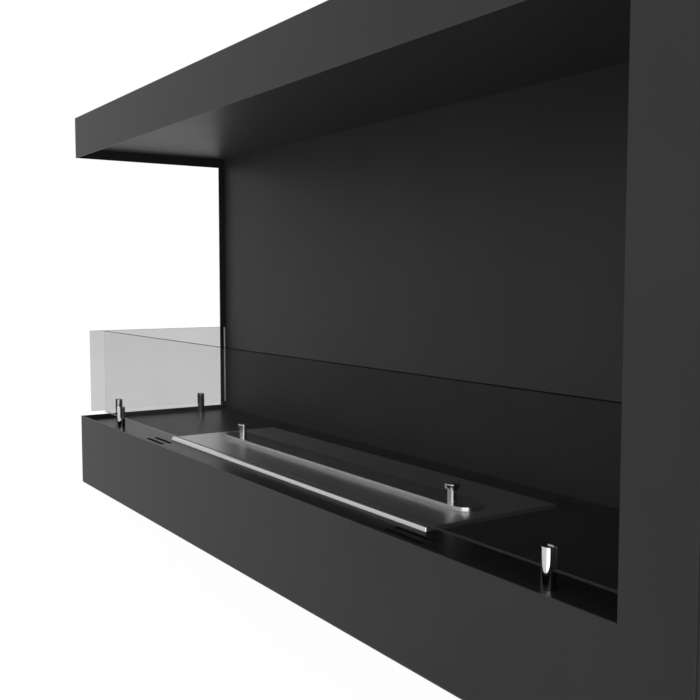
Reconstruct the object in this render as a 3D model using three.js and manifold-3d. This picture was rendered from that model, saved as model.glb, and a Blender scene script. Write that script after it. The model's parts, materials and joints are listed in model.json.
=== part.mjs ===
// Built-in bioethanol fireplace, open at its front and left side.
// Millimetres, +Z up, +Y towards the wall, origin at the middle of the footprint on the floor.
import * as THREE from "three";
import { mergeVertices } from "three/addons/utils/BufferGeometryUtils.js";
import Module from "manifold-3d";

const wasm = await Module();
wasm.setup();

// Casing of folded steel sheet
const width = 1200;
const height = 600;
const depth = 268;
const sheet = 2;
const baseHeight = 112;
const hoodHeight = 64;
const stileWidth = 60;
const rim = 6.5;
const hoodLip = 15;
const backLip = 13;
const bottomReturn = 14;
const panelFlange = 14;
const bendRadius = 3;

// Angles that carry the shelf
const railLeg = 16;
const railSheet = 2;

// Bottom panel: air slots, screws and the tray that catches spilled fuel
const intakeLength = 80;
const intakeWidth = 8;
const intakePitch = 120;
const intakeCount = 8;
const intakeInset = 40;
const bottomScrewInset = 75;
const bottomScrewCount = 4;
const trayMarginX = 17;
const trayMarginY = 4;
const trayHeight = 18;
const traySheet = 1.5;

// Wall fixing in the back panel
const keyholeHead = 14;
const keyholeNeck = 7;
const keyholeRise = 12;
const keyholeDrop = 34;
const fixingHole = 8;
const fixingHeight = 60;
const fixingInset = 180;

// Air slots in the shelf, in pairs beside the burner's corners, near the middle of the strips that are left
const ventLength = 60;
const ventWidth = 6;
const ventPitch = 12;
const ventShiftFront = -0.5;
const ventShiftBack = 1.5;

// Glass panes
const glassThickness = 6;
const glassHeight = 133;
const glassLift = 15.8;
const frontPaneInset = 28;
const sidePaneInset = 24;
const paneCornerGap = 20;
const frontPaneEndGap = 18;
const sidePaneFrontGap = 10;
const sidePaneBackGap = 13.5;

// Slotted glass holders with a soft lining
const postDiameter = 12;
const postHeight = 33;
const postChamfer = 0.6;
const frontPostInsetLeft = 68.5;
const frontPostInsetRight = 72.5;
const sidePostInset = 47;
const liningWall = 0.5;
const liningFloor = 1.5;
const liningHeight = 17;

// Screws
const postThread = 5;
const postScrewDepth = 9;
const postScrewHead = 9.5;
const postScrewHeadHeight = 2.6;
const lidThread = 4;
const lidScrewDepth = 7;
const lidScrewHead = 8;
const bottomThread = 4;
const bottomScrewDepth = 8;
const bottomScrewHead = 7.5;
const threadClearance = 0.3;
const headClearance = 0.3;
const boreSpare = 1.5;

// Burner unit that drops into the shelf
const plateLength = 604;
const plateWidth = 170;
const plateRise = 4;
const plateSheet = 1.5;
const plateInset = 48;
const plateSlant = 1.4;
const plateLedge = 14;
const flameInset = 44;
const flameWidth = 24;
const tankDepth = 62;
const tankSheet = 1.5;
const tankCorner = 8;
const cutoutClearance = 3;
const woolDepth = 38;
const woolClearance = 1;
const screenSheet = 1;
const screenSlotLength = 44;
const screenSlotWidth = 5;
const screenPitchX = 17;
const screenPitchY = 58;
const screenMargin = 14;

// Lid that lies over the flame slot
const lidOverlapX = 18.5;
const lidOverlapY = 7;
const lidThickness = 4.6;
const lidChamfer = 0.4;
const lidShiftX = 5.5;
const lidShiftY = -3.2;
const knobInset = 40.5;
const knobHeight = 17;
const knobStem = 10.5;
const knobCap = 16;
const knobCapHeight = 5.5;
const knobChamfer = 0.5;

// How far a cutting tool reaches past the face that it opens
const overcut = 1;

const roundSegments = 32;
const screwSegments = 16;
const arcSegments = 4;
const lidArcSegments = 14;

// Planes that the pieces share
const left = -width / 2;
const right = width / 2;
const front = -depth / 2;
const back = depth / 2;
const insideLeft = left + sheet;
const insideFront = front + sheet;
const wallFace = back - sheet;
const innerWall = right - stileWidth;
const hoodBottom = height - hoodHeight;
const ceiling = hoodBottom + hoodLip;
const shelfTop = baseHeight - rim;
const shelfUnderside = shelfTop - sheet;
const bottomPanelTop = 2 * sheet;
const glassBottom = shelfTop + glassLift;
const slotWidth = glassThickness + 2 * liningWall;
const slotFloor = glassBottom - liningFloor;
const postTop = shelfTop + postHeight;

// The burner's own sizes: the tank hangs inside the plate's ledge, and the lid overlaps the flame slot
const tankLength = plateLength - 2 * plateLedge;
const tankWidth = plateWidth - 2 * plateLedge;
const flameLength = plateLength - 2 * flameInset;
const lidLength = flameLength + 2 * lidOverlapX;
const lidWidth = flameWidth + 2 * lidOverlapY;
const trayLength = tankLength + 2 * trayMarginX;
const trayWidth = tankWidth + 2 * trayMarginY;

// Centres of the burner and its lid
const burnerX = (left + innerWall) / 2;
const burnerY = front + plateInset + plateWidth / 2;
const lidX = burnerX + lidShiftX;
const lidY = burnerY + lidShiftY;
const plateTop = shelfTop + plateRise;
const plateUnderside = plateTop - plateSheet;
const tankBottom = plateUnderside - tankDepth;
const woolTop = tankBottom + tankSheet + woolDepth;
const lidTop = plateTop + lidThickness;

// Glass and post places
const frontPaneY = front + frontPaneInset;
const sidePaneX = left + sidePaneInset;
const frontPaneLeft = sidePaneX + glassThickness / 2 + paneCornerGap;
const frontPaneRight = innerWall - frontPaneEndGap;
const sidePaneFront = front + sidePaneFrontGap;
const sidePaneBack = wallFace - sidePaneBackGap;
const posts = [
  { name: "front_left", x: frontPaneLeft + frontPostInsetLeft, y: frontPaneY, along: "x" },
  { name: "front_right", x: frontPaneRight - frontPostInsetRight, y: frontPaneY, along: "x" },
  { name: "side_front", x: sidePaneX, y: sidePaneFront + sidePostInset, along: "y" },
  { name: "side_back", x: sidePaneX, y: sidePaneBack - sidePostInset, along: "y" },
];

const finishes = {
  coat: { color: 0x2b2b2c, roughness: 0.45, metalness: 0.1 },
  steel: { color: 0xa9a8a4, roughness: 0.35, metalness: 1 },
  chrome: { color: 0xd8d8d8, roughness: 0.1, metalness: 1 },
  zinc: { color: 0x9a9c9e, roughness: 0.4, metalness: 0.9 },
  glass: { color: 0xdfe8e6, roughness: 0.02, metalness: 0, transparent: true, opacity: 0.3 },
  lining: { color: 0xd9d9d6, roughness: 0.6, metalness: 0 },
  wool: { color: 0xe9e6de, roughness: 1, metalness: 0 },
};

const fireplace = new THREE.Group();

function addPiece(name, geometry, finish) {
  const mesh = new THREE.Mesh(geometry, new THREE.MeshStandardMaterial(finishes[finish]));
  mesh.name = name;
  fireplace.add(mesh);
  return mesh;
}

// Solids and booleans

function toSolid(geometry) {
  geometry.deleteAttribute("normal");
  geometry.deleteAttribute("uv");
  const merged = mergeVertices(geometry);
  return new wasm.Manifold(new wasm.Mesh({
    numProp: 3,
    vertProperties: merged.attributes.position.array,
    triVerts: Uint32Array.from(merged.index.array),
  }));
}

function toGeometry(body) {
  const mesh = body.getMesh();
  const geometry = new THREE.BufferGeometry();
  geometry.setAttribute("position", new THREE.BufferAttribute(mesh.vertProperties, 3));
  geometry.setIndex(new THREE.BufferAttribute(mesh.triVerts, 1));
  geometry.computeVertexNormals();
  return geometry;
}

function join(...geometries) {
  return toGeometry(geometries.map(toSolid).reduce((body, next) => body.add(next)));
}

function cut(geometry, ...tools) {
  return toGeometry(tools.map(toSolid).reduce((body, tool) => body.subtract(tool), toSolid(geometry)));
}

function block(x0, x1, y0, y1, z0, z1) {
  const box = new THREE.BoxGeometry(x1 - x0, y1 - y0, z1 - z0);
  return box.translate((x0 + x1) / 2, (y0 + y1) / 2, (z0 + z1) / 2);
}

// Block about (x, y) whose four walls lean in by slant from its foot to its top
function leaningBlock(x, y, length, breadth, z0, z1, slant) {
  const box = new THREE.BoxGeometry(length, breadth, z1 - z0);
  const corners = box.attributes.position;
  for (let index = 0; index < corners.count; index += 1) {
    if (corners.getZ(index) > 0) {
      corners.setX(index, corners.getX(index) - Math.sign(corners.getX(index)) * slant);
      corners.setY(index, corners.getY(index) - Math.sign(corners.getY(index)) * slant);
    }
  }
  return box.translate(x, y, (z0 + z1) / 2);
}

// Sheets and sections: a flat shape given a thickness or a length along one axis

function extrude(shape, length) {
  return new THREE.ExtrudeGeometry(shape, { depth: length, bevelEnabled: false, curveSegments: arcSegments });
}

function alongZ(shape, z0, z1) {
  return extrude(shape, z1 - z0).translate(0, 0, z0);
}

function alongY(shape, y0, y1) {
  return extrude(shape, y1 - y0).rotateX(Math.PI / 2).translate(0, y1, 0);
}

function alongX(shape, x0, x1) {
  const axes = new THREE.Matrix4().makeBasis(
    new THREE.Vector3(0, 1, 0), new THREE.Vector3(0, 0, 1), new THREE.Vector3(1, 0, 0));
  return extrude(shape, x1 - x0).applyMatrix4(axes).translate(x0, 0, 0);
}

function turned(profile, x, y, z, segments = roundSegments) {
  const points = profile.map(([radius, level]) => new THREE.Vector2(radius, level));
  return new THREE.LatheGeometry(points, segments).rotateX(Math.PI / 2).translate(x, y, z);
}

// Flat shapes

function trace(outline, points) {
  outline.moveTo(...points[0]);
  points.slice(1).forEach((point) => outline.lineTo(...point));
  outline.closePath();
  return outline;
}

function rectangle(u0, u1, v0, v1) {
  return trace(new THREE.Shape(), [[u0, v0], [u1, v0], [u1, v1], [u0, v1]]);
}

function roundedRectangle(u, v, length, breadth, radius, outline = new THREE.Shape()) {
  const halfU = length / 2 - radius;
  const halfV = breadth / 2 - radius;
  outline.absarc(u + halfU, v + halfV, radius, 0, Math.PI / 2, false);
  outline.absarc(u - halfU, v + halfV, radius, Math.PI / 2, Math.PI, false);
  outline.absarc(u - halfU, v - halfV, radius, Math.PI, 1.5 * Math.PI, false);
  outline.absarc(u + halfU, v - halfV, radius, 1.5 * Math.PI, 2 * Math.PI, false);
  outline.closePath();
  return outline;
}

function longHole(u, v, length, breadth, outline = new THREE.Path()) {
  const radius = breadth / 2;
  const reach = length / 2 - radius;
  outline.absarc(u + reach, v, radius, -Math.PI / 2, Math.PI / 2, false);
  outline.absarc(u - reach, v, radius, Math.PI / 2, 1.5 * Math.PI, false);
  outline.closePath();
  return outline;
}

function roundHole(u, v, diameter) {
  return longHole(u, v, diameter, diameter);
}

function keyhole(u, v) {
  const neck = keyholeNeck / 2;
  const headRadius = keyholeHead / 2;
  const spread = Math.asin(neck / headRadius);
  const outline = new THREE.Path();
  outline.absarc(u, v, headRadius, Math.PI / 2 + spread, 2.5 * Math.PI - spread, false);
  outline.absarc(u, v + keyholeRise, neck, 0, Math.PI, false);
  outline.closePath();
  return outline;
}

// Folded U section from (u, v), its web along u and its two flanges along v
function channel(u, v, span, flange, thickness, side) {
  const outer = bendRadius;
  const inner = bendRadius - thickness;
  const outline = new THREE.Shape();
  const at = (du, dv) => [u + du, v + side * dv];
  const bend = (du, dv, radius, from, turn) => {
    for (let step = 0; step <= arcSegments; step += 1) {
      const heading = from + (turn * step * Math.PI) / 2 / arcSegments;
      points.push(at(du + radius * Math.cos(heading), dv + radius * Math.sin(heading)));
    }
  };
  const points = [at(0, flange)];
  bend(outer, outer, outer, Math.PI, 1);
  bend(span - outer, outer, outer, 1.5 * Math.PI, 1);
  points.push(at(span, flange), at(span - thickness, flange));
  bend(span - outer, outer, inner, 0, -1);
  bend(outer, outer, inner, 1.5 * Math.PI, -1);
  points.push(at(thickness, flange));
  return trace(outline, points);
}

// Folded angle with its corner at (u, v) and its legs pointing along signU and signV
function angle(u, v, signU, signV, leg, thickness) {
  const inner = bendRadius - thickness;
  const at = (du, dv) => [u + signU * du, v + signV * dv];
  const points = [at(leg, 0), at(leg, thickness)];
  for (let step = 0; step <= arcSegments; step += 1) {
    const turn = 1.5 * Math.PI - (step * Math.PI) / 2 / arcSegments;
    points.push(at(bendRadius + inner * Math.cos(turn), bendRadius + inner * Math.sin(turn)));
  }
  points.push(at(thickness, leg), at(0, leg));
  for (let step = 0; step <= arcSegments; step += 1) {
    const turn = Math.PI + (step * Math.PI) / 2 / arcSegments;
    points.push(at(bendRadius + bendRadius * Math.cos(turn), bendRadius + bendRadius * Math.sin(turn)));
  }
  return trace(new THREE.Shape(), points);
}

// Casing

// One C-shaped sheet: header, stile and base strip, with a return under the base
function addFrontFrame() {
  const outline = trace(new THREE.Shape(), [
    [left, 0], [right, 0], [right, height], [left, height],
    [left, hoodBottom], [innerWall, hoodBottom], [innerWall, baseHeight], [left, baseHeight],
  ]);
  const face = alongY(outline, front, insideFront);
  const underside = block(left, right, front, insideFront + bottomReturn, 0, sheet);
  const holes = bottomScrewPlaces("front").map(bottomCountersink);
  addPiece("front_frame", cut(join(face, underside), ...holes), "coat");
}

// The wall behind the fire
function addBackPanel() {
  const outline = rectangle(left, right, 0, height);
  for (const side of [left + fixingInset, right - fixingInset]) {
    outline.holes.push(keyhole(side, height - keyholeDrop));
    outline.holes.push(roundHole(side, fixingHeight, fixingHole));
  }
  const face = alongY(outline, wallFace, back);
  const underside = block(left, right, wallFace - bottomReturn, back, 0, sheet);
  const holes = bottomScrewPlaces("back").map(bottomCountersink);
  addPiece("back_panel", cut(join(face, underside), ...holes), "coat");
}

// Strip that stiffens the back panel down its open left edge
function addEdgeStrip() {
  const strip = block(left, insideLeft, back - backLip, wallFace, baseHeight, hoodBottom);
  addPiece("back_edge_strip", strip, "coat");
}

function addLeftSides() {
  const underside = block(left, insideLeft + bottomReturn, insideFront + bottomReturn,
    wallFace - bottomReturn, 0, sheet);
  const base = block(left, insideLeft, insideFront, wallFace, sheet, baseHeight);
  addPiece("base_side_left", join(base, underside), "coat");
  const hood = block(left, insideLeft, insideFront, wallFace, hoodBottom, height - sheet);
  addPiece("hood_side_left", hood, "coat");
}

function addRightSide() {
  const panel = alongZ(channelOnSide(right, -1), bottomPanelTop, height - sheet);
  const foot = block(right - sheet, right, insideFront, wallFace, sheet, bottomPanelTop);
  const underside = block(right - sheet - bottomReturn, right, insideFront + bottomReturn,
    wallFace - bottomReturn, 0, sheet);
  addPiece("right_side_panel", join(panel, foot, underside), "coat");
}

// Upright channel whose web stands at x and whose flanges point along sign
function channelOnSide(x, sign) {
  const section = channel(0, 0, wallFace - insideFront, panelFlange, sheet, 1);
  const points = section.getPoints().map((point) => [x + sign * point.y, insideFront + point.x]);
  return trace(new THREE.Shape(), points);
}

function addInnerSide() {
  addPiece("inner_side_panel", alongZ(channelOnSide(innerWall, 1), bottomPanelTop, height - sheet), "coat");
}

function addTop() {
  const section = channel(insideFront, height, wallFace - insideFront, panelFlange, sheet, -1);
  const panel = alongX(section, left, right);
  const room = [
    block(left, insideLeft, insideFront, wallFace, hoodBottom, height - sheet),
    block(innerWall, innerWall + panelFlange, insideFront, wallFace, hoodBottom, height - sheet),
    block(right - panelFlange, right, insideFront, wallFace, hoodBottom, height - sheet),
  ];
  addPiece("top_panel", cut(panel, ...room), "coat");
}

function addCeiling() {
  const section = channel(insideFront, ceiling, wallFace - insideFront, panelFlange, sheet, 1);
  addPiece("ceiling_panel", alongX(section, insideLeft, innerWall), "coat");
}

function addShelf() {
  const cutoutWidth = tankWidth + 2 * cutoutClearance;
  const outline = rectangle(insideLeft, innerWall, insideFront, wallFace);
  outline.holes.push(roundedRectangle(burnerX, burnerY, tankLength + 2 * cutoutClearance,
    cutoutWidth, tankCorner + cutoutClearance, new THREE.Path()));
  const frontStrip = (insideFront + burnerY - cutoutWidth / 2) / 2 + ventShiftFront;
  const backStrip = (wallFace + burnerY + cutoutWidth / 2) / 2 + ventShiftBack;
  for (const x of [burnerX - plateLength / 2, burnerX + plateLength / 2]) {
    for (const y of [frontStrip, backStrip]) {
      outline.holes.push(longHole(x, y - ventPitch / 2, ventLength, ventWidth));
      outline.holes.push(longHole(x, y + ventPitch / 2, ventLength, ventWidth));
    }
  }
  for (const post of posts) outline.holes.push(roundHole(post.x, post.y, postThread + threadClearance));
  addPiece("base_shelf", alongZ(outline, shelfUnderside, shelfTop), "coat");
}

function addRails() {
  const nearWall = angle(insideFront, shelfUnderside, 1, -1, railLeg, railSheet);
  const farWall = angle(wallFace, shelfUnderside, -1, -1, railLeg, railSheet);
  addPiece("shelf_rail_front", alongX(nearWall, insideLeft, innerWall), "zinc");
  addPiece("shelf_rail_back", alongX(farWall, insideLeft, innerWall), "zinc");
  const ends = [insideFront + railLeg, wallFace - railLeg];
  const leftWall = angle(insideLeft, shelfUnderside, 1, -1, railLeg, railSheet);
  const rightWall = angle(innerWall, shelfUnderside, -1, -1, railLeg, railSheet);
  addPiece("shelf_rail_left", alongY(leftWall, ...ends), "zinc");
  addPiece("shelf_rail_right", alongY(rightWall, ...ends), "zinc");
}

// Bottom panel, screwed up against the returns' upper faces

function bottomScrewPlaces(side) {
  const y = side === "front" ? insideFront + bottomReturn / 2 : wallFace - bottomReturn / 2;
  const pitch = (width - 2 * bottomScrewInset) / (bottomScrewCount - 1);
  const places = [];
  for (let index = 0; index < bottomScrewCount; index += 1) {
    places.push([left + bottomScrewInset + index * pitch, y]);
  }
  return places;
}

function bottomCountersink([x, y]) {
  return countersink(x, y, 0, bottomThread, bottomScrewHead, 2 * sheet);
}

function addBottomScrews() {
  for (const side of ["front", "back"]) {
    bottomScrewPlaces(side).forEach(([x, y], index) => {
      addPiece(`bottom_screw_${side}_${index + 1}`, countersunkScrew(x, y, headClearance, bottomThread,
        bottomScrewHead, bottomScrewDepth), "zinc");
    });
  }
}

function addBottom() {
  const outline = rectangle(insideLeft, right - sheet, insideFront, wallFace);
  for (let index = 0; index < intakeCount; index += 1) {
    const x = (index - (intakeCount - 1) / 2) * intakePitch;
    outline.holes.push(longHole(x, insideFront + intakeInset, intakeLength, intakeWidth));
    outline.holes.push(longHole(x, wallFace - intakeInset, intakeLength, intakeWidth));
  }
  for (const [x, y] of [...bottomScrewPlaces("front"), ...bottomScrewPlaces("back")]) {
    outline.holes.push(roundHole(x, y, bottomThread + threadClearance));
  }
  addPiece("bottom_panel", alongZ(outline, sheet, bottomPanelTop), "coat");
}

function addTray() {
  const outer = roundedRectangle(burnerX, burnerY, trayLength, trayWidth, tankCorner);
  const inner = roundedRectangle(burnerX, burnerY, trayLength - 2 * traySheet,
    trayWidth - 2 * traySheet, tankCorner - traySheet);
  const body = alongZ(outer, bottomPanelTop, bottomPanelTop + trayHeight);
  const hollow = alongZ(inner, bottomPanelTop + traySheet, bottomPanelTop + trayHeight + overcut);
  addPiece("overflow_tray", cut(body, hollow), "zinc");
}

// Glass and its holders

function addGlass() {
  const half = glassThickness / 2;
  const glassTop = glassBottom + glassHeight;
  addPiece("front_glass", block(frontPaneLeft, frontPaneRight, frontPaneY - half, frontPaneY + half,
    glassBottom, glassTop), "glass");
  addPiece("side_glass", block(sidePaneX - half, sidePaneX + half, sidePaneFront, sidePaneBack,
    glassBottom, glassTop), "glass");
}

function slotBlock(post, breadth, reach, z0, z1) {
  const [halfX, halfY] = post.along === "x" ? [reach, breadth / 2] : [breadth / 2, reach];
  return block(post.x - halfX, post.x + halfX, post.y - halfY, post.y + halfY, z0, z1);
}

function addPost(post) {
  const radius = postDiameter / 2;
  const bore = (postThread + threadClearance) / 2;
  const boreDepth = postScrewDepth + boreSpare;
  const body = turned([
    [0, boreDepth], [bore, boreDepth], [bore, 0], [radius, 0],
    [radius, postHeight - postChamfer], [radius - postChamfer, postHeight], [0, postHeight],
  ], post.x, post.y, shelfTop);
  const slot = slotBlock(post, slotWidth, postDiameter, slotFloor, postTop + overcut);
  addPiece(`post_${post.name}`, cut(body, slot), "chrome");
}

// Soft U-shaped strip between the glass and the slot's walls and floor
function addLining(post) {
  const reach = Math.sqrt(postDiameter ** 2 - slotWidth ** 2) / 2;
  const strip = slotBlock(post, slotWidth, reach, slotFloor, slotFloor + liningHeight);
  const groove = slotBlock(post, glassThickness, postDiameter, glassBottom, postTop);
  addPiece(`lining_${post.name}`, cut(strip, groove), "lining");
}

// Button-headed screw with its head under the sheet at level z and its shank pointing up
function buttonScrew(x, y, z) {
  const shank = postThread / 2;
  const head = postScrewHead / 2;
  return turned([
    [0, -postScrewHeadHeight], [head / 2, -postScrewHeadHeight], [head, -postScrewHeadHeight / 3],
    [head, 0], [shank, 0], [shank, sheet + postScrewDepth], [0, sheet + postScrewDepth],
  ], x, y, z, screwSegments);
}

// Countersunk screw with its flat head's face at level z and its shank pointing up
function countersunkScrew(x, y, z, thread, headDiameter, length) {
  const shank = thread / 2;
  const head = headDiameter / 2;
  const profile = [[0, 0], [head, 0], [shank, head - shank], [shank, length], [0, length]];
  return turned(profile, x, y, z, screwSegments);
}

function countersink(x, y, z, thread, headDiameter, length) {
  const shank = (thread + threadClearance) / 2;
  const head = headDiameter / 2 + headClearance;
  const flare = head - shank;
  const profile = [[0, -overcut], [head + overcut, -overcut], [shank, flare], [shank, length], [0, length]];
  return turned(profile, x, y, z, screwSegments);
}

function addPostScrew(post) {
  addPiece(`post_screw_${post.name}`, buttonScrew(post.x, post.y, shelfUnderside), "zinc");
}

// Burner

// Shallow tray turned upside down, its four rims leaning in, with the flame slot in its top
function addBurnerPlate() {
  const lean = plateSlant / plateRise;
  const rimWidth = plateSheet * Math.sqrt(1 + lean ** 2) - lean * overcut;
  const body = leaningBlock(burnerX, burnerY, plateLength, plateWidth, shelfTop, plateTop, plateSlant);
  const hollow = leaningBlock(burnerX, burnerY, plateLength - 2 * rimWidth, plateWidth - 2 * rimWidth,
    shelfTop - overcut, plateUnderside, lean * (plateUnderside - shelfTop + overcut));
  const flameSlot = alongZ(longHole(burnerX, burnerY, flameLength, flameWidth, new THREE.Shape()),
    plateUnderside - overcut, plateTop + overcut);
  addPiece("burner_plate", cut(body, hollow, flameSlot), "steel");
}

function addTank() {
  const outer = roundedRectangle(burnerX, burnerY, tankLength, tankWidth, tankCorner);
  const inner = roundedRectangle(burnerX, burnerY, tankLength - 2 * tankSheet,
    tankWidth - 2 * tankSheet, tankCorner - tankSheet);
  const body = alongZ(outer, tankBottom, plateUnderside);
  const hollow = alongZ(inner, tankBottom + tankSheet, plateUnderside + overcut);
  addPiece("burner_tank", cut(body, hollow), "steel");
}

function addWool() {
  const inset = 2 * (tankSheet + woolClearance);
  const outline = roundedRectangle(burnerX, burnerY, tankLength - inset, tankWidth - inset,
    tankCorner - tankSheet - woolClearance);
  addPiece("wool_pad", alongZ(outline, tankBottom + tankSheet, woolTop), "wool");
}

// Slotted sheet that holds the wool down
function addScreen() {
  const inset = 2 * (tankSheet + woolClearance);
  const length = tankLength - inset;
  const outline = roundedRectangle(burnerX, burnerY, length, tankWidth - inset,
    tankCorner - tankSheet - woolClearance);
  const columns = Math.floor((length - 2 * screenMargin) / screenPitchX);
  for (let column = 0; column < columns; column += 1) {
    const x = burnerX + (column - (columns - 1) / 2) * screenPitchX;
    for (const y of [burnerY - screenPitchY / 2, burnerY + screenPitchY / 2]) {
      outline.holes.push(crosswiseHole(x, y, screenSlotLength, screenSlotWidth));
    }
  }
  addPiece("wool_screen", alongZ(outline, woolTop, woolTop + screenSheet), "steel");
}

function crosswiseHole(x, y, length, breadth) {
  const half = breadth / 2;
  const reach = length / 2 - half;
  return trace(new THREE.Path(), [
    [x + half, y - reach], [x + half, y + reach], [x, y + length / 2],
    [x - half, y + reach], [x - half, y - reach], [x, y - length / 2],
  ]);
}

// Lid

function knobPlaces() {
  const reach = lidLength / 2 - knobInset;
  return [["left", lidX - reach], ["right", lidX + reach]];
}

function addLid() {
  const outline = longHole(lidX, lidY, lidLength, lidWidth, new THREE.Shape());
  const body = new THREE.ExtrudeGeometry(outline, {
    depth: lidThickness - 2 * lidChamfer, bevelThickness: lidChamfer, bevelSize: lidChamfer,
    bevelOffset: -lidChamfer, bevelSegments: 1, curveSegments: lidArcSegments,
  }).translate(0, 0, plateTop + lidChamfer);
  const holes = knobPlaces().map(([, x]) =>
    countersink(x, lidY, plateTop, lidThread, lidScrewHead, lidThickness + overcut));
  addPiece("burner_lid", cut(body, ...holes), "steel");
}

function addKnobs() {
  const stem = knobStem / 2;
  const cap = knobCap / 2;
  const bore = (lidThread + threadClearance) / 2;
  const boreDepth = lidScrewDepth + boreSpare;
  const capBottom = knobHeight - knobCapHeight;
  for (const [name, x] of knobPlaces()) {
    addPiece(`lid_knob_${name}`, turned([
      [0, boreDepth], [bore, boreDepth], [bore, 0], [stem, 0], [stem, capBottom],
      [cap - knobChamfer, capBottom], [cap, capBottom + knobChamfer], [cap, knobHeight - knobChamfer],
      [cap - knobChamfer, knobHeight], [0, knobHeight],
    ], x, lidY, lidTop), "chrome");
  }
}

function addLidScrews() {
  for (const [name, x] of knobPlaces()) {
    addPiece(`knob_screw_${name}`, countersunkScrew(x, lidY, plateTop + headClearance,
      lidThread, lidScrewHead, lidThickness + lidScrewDepth - headClearance), "zinc");
  }
}

addFrontFrame();
addBackPanel();
addEdgeStrip();
addLeftSides();
addRightSide();
addInnerSide();
addTop();
addCeiling();
addShelf();
addRails();
addBottom();
addBottomScrews();
addTray();
addGlass();
posts.forEach(addPost);
posts.forEach(addLining);
posts.forEach(addPostScrew);
addBurnerPlate();
addTank();
addWool();
addScreen();
addLid();
addKnobs();
addLidScrews();

export default fireplace;
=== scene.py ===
# Built-in bioethanol fireplace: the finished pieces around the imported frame.
# Metres, +X along the casing to its closed right end, +Y towards the wall behind, +Z up.
import json
import math

import bmesh
import bpy
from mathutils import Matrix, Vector, noise

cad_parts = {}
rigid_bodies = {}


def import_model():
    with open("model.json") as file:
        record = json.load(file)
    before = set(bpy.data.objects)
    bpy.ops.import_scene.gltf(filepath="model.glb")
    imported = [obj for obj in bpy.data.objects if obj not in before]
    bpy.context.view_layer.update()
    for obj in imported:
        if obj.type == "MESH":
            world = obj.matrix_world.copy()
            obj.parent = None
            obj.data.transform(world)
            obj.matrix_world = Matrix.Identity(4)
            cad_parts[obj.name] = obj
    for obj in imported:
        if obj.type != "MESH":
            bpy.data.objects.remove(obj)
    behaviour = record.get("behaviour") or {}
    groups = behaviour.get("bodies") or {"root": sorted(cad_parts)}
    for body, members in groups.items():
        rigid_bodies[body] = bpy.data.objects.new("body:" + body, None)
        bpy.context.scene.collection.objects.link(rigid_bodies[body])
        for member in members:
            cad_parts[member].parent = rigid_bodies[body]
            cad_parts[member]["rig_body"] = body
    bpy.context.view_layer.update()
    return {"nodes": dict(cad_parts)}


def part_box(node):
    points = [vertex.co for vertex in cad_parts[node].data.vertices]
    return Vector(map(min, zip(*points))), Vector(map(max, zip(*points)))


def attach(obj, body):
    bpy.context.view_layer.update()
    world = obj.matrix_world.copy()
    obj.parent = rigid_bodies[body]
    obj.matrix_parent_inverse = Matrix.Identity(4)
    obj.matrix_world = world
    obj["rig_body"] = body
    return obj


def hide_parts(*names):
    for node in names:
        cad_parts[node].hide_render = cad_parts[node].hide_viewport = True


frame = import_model()

bl_info = {
    "name": "Bioethanol fireplace",
    "version": (1, 0, 0),
    "blender": (4, 5, 0),
    "location": "View3D > Sidebar > Fireplace",
    "description": "Black steel insert with a lidded stainless burner and low glass panes in slotted posts",
    "category": "Object",
}

MM = 0.001
QUARTER = math.pi / 2
WHITE = (1.0, 1.0, 1.0, 1.0)

# Points closer than this are one point, and faces that meet flatter than this are one face
WELD = 0.001 * MM
FLAT = math.radians(0.5)

# Faces that meet at more than this have a cut edge between them
CREASE = math.radians(25)

# A point nearer than this to a side of a box lies on it
ON_SIDE = 0.05 * MM

# Radius of the upright corners of the tank and the tray
TANK_CORNER = 8 * MM

# Brushing: how fine it is along and across the sheet, and how deep
BRUSHING = (9.0, 1500.0, 1500.0)
BRUSHING_DEPTH = 0.002 * MM

# Depth of the orange peel in the casing's coat and in the shelf's
COAT_PEEL = 0.02 * MM
SHELF_PEEL = 0.006 * MM

# Colour in the panes, and the light that a face of the side pane holds back behind the front one
PANE_GREY = (0.014, 0.0148, 0.0147, 1.0)
HOLD_BEHIND = 0.02

# Ground edges of the panes: colour, share of the light held back, and gloss
# These are lit and shaded copies of one ground edge: the top is painted dark as shade, and the foot and the
# far end are painted lighter as light
GROUND_EDGES = {
    "ground_top_painted_shade": ((0.003, 0.0033, 0.0032), 0.85, 0.0),
    "ground_foot_painted_light": ((0.095, 0.1, 0.099), 0.75, 0.5),
    "ground_end_painted_light": ((0.5, 0.52, 0.515), 0.85, 0.2),
}

# Lamps: where each stands, what it faces and how wide it is
KEY_LAMP = ((0.0, -2.8, 2.1), (0.0, 0.0, 0.2), 2.2)
SIDE_LAMP = ((-2.4, -0.6, 1.6), (-0.3, 0.0, 0.2), 1.6)
PANEL_LAMP = ((1.158, -0.39, 0.15), (0.32, 0.158, 0.15), 1.6)

# The camera stands at the front right, just above the panes
CAMERA_PLACE = (0.9518, -0.614, 0.339)
CAMERA_TURN = (math.radians(85.70), 0.0, math.radians(56.80))

# Floor: it lies just below the object. Where it is seen, this share of it glows and the rest is matt
FLOOR_RADIUS = 30.0
FLOOR_DROP = 0.2 * MM
FLOOR_GREY = (0.92, 0.92, 0.92, 1.0)
FLOOR_GLOW = 1.2
FLOOR_SHARE = 0.72

POSTS = ("front_left", "front_right", "side_front", "side_back")
SIDES = ("left", "right")
BOTTOM_SCREWS = [f"bottom_screw_{row}_{place}" for row in ("front", "back") for place in range(1, 5)]
OUTER_SHEETS = ("front_frame", "base_side_left", "hood_side_left", "right_side_panel", "top_panel")
CHAMBER_SHEETS = ("back_panel", "back_edge_strip", "inner_side_panel", "ceiling_panel")
RAILS = ("shelf_rail_front", "shelf_rail_back", "shelf_rail_left", "shelf_rail_right")

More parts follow.
